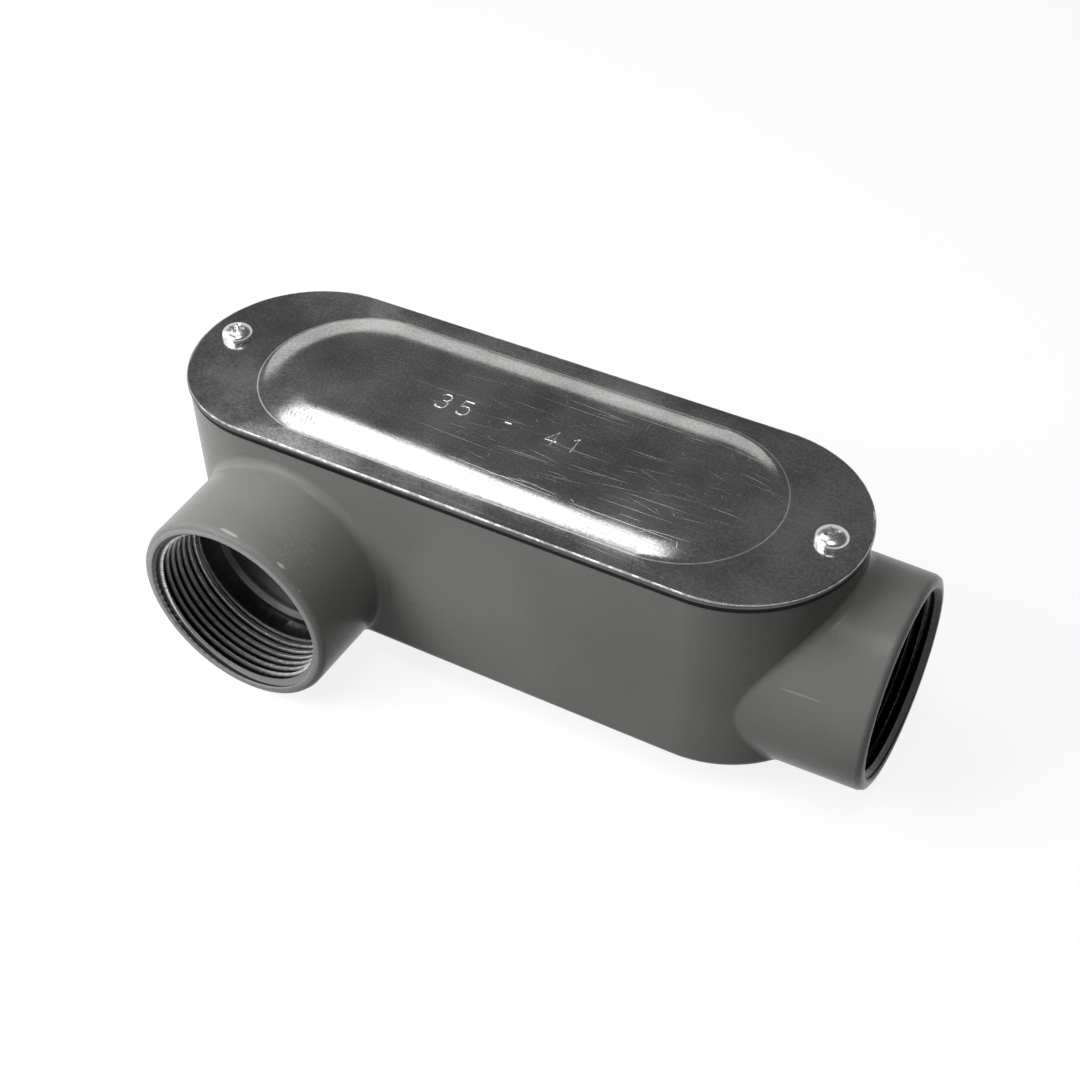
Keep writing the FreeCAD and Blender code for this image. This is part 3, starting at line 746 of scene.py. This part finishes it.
def make_sheet_metal():
    """Rolled sheet gone dull: clouded, scratched, with a painted highlight along its creases, dark on its edge and
    its press marks.
    """
    material, tree, shader, place = new_material("sheet_metal")
    centred = tree.nodes.new("ShaderNodeMapping")
    centred.inputs["Location"].default_value = (-COVER_MIDDLE.x * MM, -COVER_MIDDLE.y * MM, 0)
    split = tree.nodes.new("ShaderNodeSeparateXYZ")
    link_chain(tree, (place, centred.inputs["Vector"]), (centred.outputs["Vector"], split.inputs["Vector"]))
    place = centred.outputs["Vector"]
    x, y = split.outputs["X"], split.outputs["Y"]
    past = math_node(tree, "MAXIMUM", math_node(tree, "SUBTRACT", math_node(tree, "ABSOLUTE", x),
                                                PANEL_HALF_STRAIGHT * MM), 0.0)
    ring = math_node(tree, "SQRT", math_node(tree, "MULTIPLY_ADD", past, past, math_node(tree, "MULTIPLY", y, y)))
    # A painted highlight along the panel's crease, where its rounding would catch the light.
    off_crease = math_node(tree, "ABSOLUTE", math_node(tree, "SUBTRACT", ring, PANEL_RADIUS * MM))
    crease = ramp(tree, off_crease, 0.26 * MM, 0.10 * MM)
    mottle = place_group(tree, mottle_group, place, cloud_scale=45.0, grain_scale=1500.0)
    marks = None
    to_right = ramp(tree, x, -70 * MM, 35 * MM, 0.12, 1.0)
    for turn, spacing, length, width, amount, slant, seed, bright in SCRATCHES:
        group = place_group(tree, scratches_group, place, turn=turn, spacing=spacing * MM, length=length * MM,
                            width=width, amount=amount, slant=slant, seed=seed)
        layer = math_node(tree, "MULTIPLY", group["mask"], bright)
        marks = layer if marks is None else math_node(tree, "MAXIMUM", marks, layer)
    on_panel = ramp(tree, ring, PANEL_RADIUS * MM, (PANEL_RADIUS - 5) * MM, 0.35, 1.0)
    marks = math_node(tree, "MULTIPLY", marks, math_node(tree, "MULTIPLY", to_right, on_panel))
    pressed = None
    along = math_node(tree, "ADD", x, (COVER_MIDDLE.x - PRESS_MARKS_X) * MM)
    in_length = ramp(tree, math_node(tree, "ABSOLUTE", along), 5.4 * MM, 4.8 * MM)
    leaning = math_node(tree, "MULTIPLY_ADD", y, 0.25, along)
    for row_y, half_height, pitch, depth in PRESS_ROWS:
        beat = math_node(tree, "FRACT", math_node(tree, "DIVIDE", leaning, pitch * MM))
        tooth = ramp(tree, math_node(tree, "ABSOLUTE", math_node(tree, "SUBTRACT", beat, 0.5)), 0.20, 0.08)
        off_row = math_node(tree, "ABSOLUTE", math_node(tree, "SUBTRACT", y, row_y * MM))
        in_row = ramp(tree, off_row, (half_height + 0.15) * MM, (half_height - 0.15) * MM)
        inside = math_node(tree, "MULTIPLY", in_length, in_row)
        press = math_node(tree, "MULTIPLY", math_node(tree, "MULTIPLY", tooth, inside), depth)
        pressed = press if pressed is None else math_node(tree, "MAXIMUM", pressed, press)
    # Scratches, and the painted highlight along the crease.
    wear_and_crease_highlight = math_node(tree, "MAXIMUM", marks, math_node(tree, "MULTIPLY", crease, 0.55))
    patina = math_node(tree, "MULTIPLY_ADD", mottle["grain"], 0.5, math_node(tree, "MULTIPLY", mottle["cloud"], 0.75))
    sheet = blend_colors(tree, ramp(tree, patina, 0.42, 0.80), (0.44, 0.44, 0.43), (0.80, 0.80, 0.79))
    sheet = blend_colors(tree, wear_and_crease_highlight, sheet, (0.93, 0.93, 0.92))
    sheared = ramp(tree, split.outputs["Z"], (COVER_TOP - 0.25) * MM, (COVER_TOP - 0.45) * MM)
    edge_dirt = ramp(tree, noise(tree, place, 420.0, 2.0), 0.40, 0.62, 0.55, 0.0)
    rolled = ramp(tree, split.outputs["Z"], (COVER_TOP - 0.01) * MM, (COVER_TOP - 0.10) * MM)
    lip = math_node(tree, "MULTIPLY", rolled, edge_dirt)
    dark = math_node(tree, "MAXIMUM", math_node(tree, "MULTIPLY", sheared, 0.9), lip)
    broken = ramp(tree, noise(tree, place, 700.0, 2.0), 0.40, 0.62)
    dark = math_node(tree, "MAXIMUM", dark, math_node(tree, "MULTIPLY", pressed, broken))
    tree.links.new(blend_colors(tree, dark, sheet, (0.05, 0.05, 0.049)), shader.inputs["Base Color"])
    shader.inputs["Metallic"].default_value = 1.0
    dull = ramp(tree, mottle["cloud"], 0.3, 0.7, 0.13, 0.19)
    rough = math_node(tree, "MULTIPLY_ADD", wear_and_crease_highlight, 0.34, dull)
    rough = math_node(tree, "MULTIPLY_ADD", dark, 0.25, rough)
    tree.links.new(math_node(tree, "MULTIPLY_ADD", mottle["grain"], 0.02, rough), shader.inputs["Roughness"])
    height = math_node(tree, "SUBTRACT", math_node(tree, "MULTIPLY", mottle["grain"], 0.12), marks)
    tree.links.new(bump(tree, height, 0.00003, 0.5), shader.inputs["Normal"])
    return material


def make_struck_metal():
    """The bright floor of a punched stroke."""
    material, tree, shader, place = new_material("struck_metal")
    mottle = place_group(tree, mottle_group, place, cloud_scale=300.0, grain_scale=2500.0)
    tree.links.new(blend_colors(tree, mottle["cloud"], (0.72, 0.72, 0.71), (0.92, 0.92, 0.91)),
                   shader.inputs["Base Color"])
    shader.inputs["Metallic"].default_value = 1.0
    tree.links.new(ramp(tree, mottle["grain"], 0.3, 0.7, 0.38, 0.5), shader.inputs["Roughness"])
    return material


sheet_metal = make_sheet_metal()
struck_metal = make_struck_metal()
cover = merged_copy("cover", "cover_plate")
cover.data.materials.append(sheet_metal)
cut_away(cover, [stroke_cutter()], crossing=True)
smoothed(cover, 20)
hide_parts("cover")
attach(cover, "root")


# --- Cover screws -------------------------------------------------------------------------------------------
# Two plated pan head machine screws with a cross recess, driven through the cover into the casting's bosses.
SCREW_PLACES = ((-183.3, 0.0, 0.30), (-20.1, 0.0, 0.75))   # mm, mm, and how far round the driver left it
HEAD_RADIUS = 3.95
HEAD_HEIGHT = 2.7
HEAD_CROWN = 1.75              # mm, how high its crown rises over its straight side
SHANK_RADIUS = 2.05
SHANK_LENGTH = 9.5
RECESS_SPAN = 4.4
RECESS_SLOT = 1.0
RECESS_DEPTH = 1.7
RECESS_TAPER = 0.45


def make_plated_steel():
    """Bright zinc plating, a little uneven."""
    material, tree, shader, place = new_material("plated_steel")
    mottle = place_group(tree, mottle_group, place, cloud_scale=400.0, grain_scale=3000.0)
    tree.links.new(blend_colors(tree, mottle["cloud"], (0.72, 0.72, 0.71), (0.90, 0.90, 0.89)),
                   shader.inputs["Base Color"])
    shader.inputs["Metallic"].default_value = 1.0
    tree.links.new(ramp(tree, mottle["grain"], 0.3, 0.7, 0.20, 0.30), shader.inputs["Roughness"])
    tree.links.new(bump(tree, mottle["cloud"], 0.00003, 0.3), shader.inputs["Normal"])
    return material


def make_one_screw():
    """One screw on the Z axis, seated at z = 0: turned, then its recess punched."""
    profile = [(0.0, -SHANK_LENGTH), (SHANK_RADIUS - 0.6, -SHANK_LENGTH),
               (SHANK_RADIUS, 0.6 - SHANK_LENGTH), (SHANK_RADIUS, 0.0), (HEAD_RADIUS - 0.1, 0.0), (HEAD_RADIUS, 0.1)]
    crown_steps = 14
    for step in range(crown_steps):
        turn = math.pi / 2 * step / crown_steps
        profile.append((HEAD_RADIUS * math.cos(turn), HEAD_HEIGHT - HEAD_CROWN + HEAD_CROWN * math.sin(turn)))
    profile.append((0.0, HEAD_HEIGHT))
    steps = 48
    mesh = bmesh.new()
    rings = []
    for radius, z in profile:
        if radius == 0.0:
            rings.append([mesh.verts.new((0, 0, z * MM))])
            continue
        rings.append([mesh.verts.new((radius * math.cos(2 * math.pi * i / steps) * MM,
                                      radius * math.sin(2 * math.pi * i / steps) * MM, z * MM))
                      for i in range(steps)])
    for lower, upper in zip(rings, rings[1:]):
        for i in range(steps):
            j = (i + 1) % steps
            if len(lower) == 1:
                mesh.faces.new((lower[0], upper[j], upper[i]))
            elif len(upper) == 1:
                mesh.faces.new((lower[i], lower[j], upper[0]))
            else:
                mesh.faces.new((lower[i], lower[j], upper[j], upper[i]))
    data = bpy.data.meshes.new("one_screw")
    mesh.to_mesh(data)
    mesh.free()
    screw = new_object("one_screw", data)

    recess = bmesh.new()
    half, slot = RECESS_SPAN / 2, RECESS_SLOT / 2
    outline = [(half, -slot), (half, slot), (slot, slot), (slot, half), (-slot, half), (-slot, slot), (-half, slot),
               (-half, -slot), (-slot, -slot), (-slot, -half), (slot, -half), (slot, -slot)]
    above = 0.4                    # mm, the punch starts over the head
    levels = ((HEAD_HEIGHT + above, 1 + above / RECESS_DEPTH * (1 - RECESS_TAPER)),
              (HEAD_HEIGHT - RECESS_DEPTH, RECESS_TAPER))
    top, bottom = [[recess.verts.new((x * size * MM, y * size * MM, z * MM)) for x, y in outline]
                   for z, size in levels]
    recess.faces.new(top)
    recess.faces.new(bottom[::-1])
    for i in range(len(outline)):
        j = (i + 1) % len(outline)
        recess.faces.new((bottom[i], bottom[j], top[j], top[i]))
    data = bpy.data.meshes.new("recess")
    recess.to_mesh(data)
    recess.free()
    return cut_away(screw, [new_object("recess", data)])


def build_placing_tree():
    """Puts one screw on each point, turned by the point's own angle."""
    tree = bpy.data.node_groups.new("placed_screws", "GeometryNodeTree")
    tree.is_modifier = True
    tree.interface.new_socket(name="Geometry", in_out="INPUT", socket_type="NodeSocketGeometry")
    tree.interface.new_socket(name="Geometry", in_out="OUTPUT", socket_type="NodeSocketGeometry")
    tree.interface.new_socket(name="screw", in_out="INPUT", socket_type="NodeSocketObject")
    tree.interface.new_socket(name="finish", in_out="INPUT", socket_type="NodeSocketMaterial")
    nodes, links = tree.nodes, tree.links
    given = nodes.new("NodeGroupInput")
    result = nodes.new("NodeGroupOutput")
    piece = nodes.new("GeometryNodeObjectInfo")
    angle = nodes.new("GeometryNodeInputNamedAttribute")
    angle.data_type = "FLOAT"
    angle.inputs["Name"].default_value = "turn"
    about_z = nodes.new("ShaderNodeCombineXYZ")
    put = nodes.new("GeometryNodeInstanceOnPoints")
    realize = nodes.new("GeometryNodeRealizeInstances")
    finish = nodes.new("GeometryNodeSetMaterial")
    links.new(given.outputs["screw"], piece.inputs["Object"])
    links.new(given.outputs["Geometry"], put.inputs["Points"])
    links.new(piece.outputs["Geometry"], put.inputs["Instance"])
    links.new(angle.outputs["Attribute"], about_z.inputs["Z"])
    links.new(about_z.outputs["Vector"], put.inputs["Rotation"])
    links.new(put.outputs["Instances"], realize.inputs["Geometry"])
    links.new(realize.outputs["Geometry"], finish.inputs["Geometry"])
    links.new(given.outputs["finish"], finish.inputs["Material"])
    links.new(finish.outputs["Geometry"], result.inputs["Geometry"])
    return tree


one_screw = make_one_screw()
seats = bpy.data.meshes.new("screws")
seats.from_pydata([(x * MM, y * MM, COVER_TOP * MM) for x, y, _ in SCREW_PLACES], [], [])
turns = seats.attributes.new("turn", "FLOAT", "POINT")
for i, (_, _, turn) in enumerate(SCREW_PLACES):
    turns.data[i].value = turn
screws = new_object("screws", seats)
modifier = screws.modifiers.new("placed", "NODES")
modifier.node_group = build_placing_tree()
set_inputs(modifier, screw=one_screw, finish=make_plated_steel())
settled(screws)
bpy.data.objects.remove(one_screw)
smoothed(screws, 35)
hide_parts("cover_screws")
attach(screws, "root")
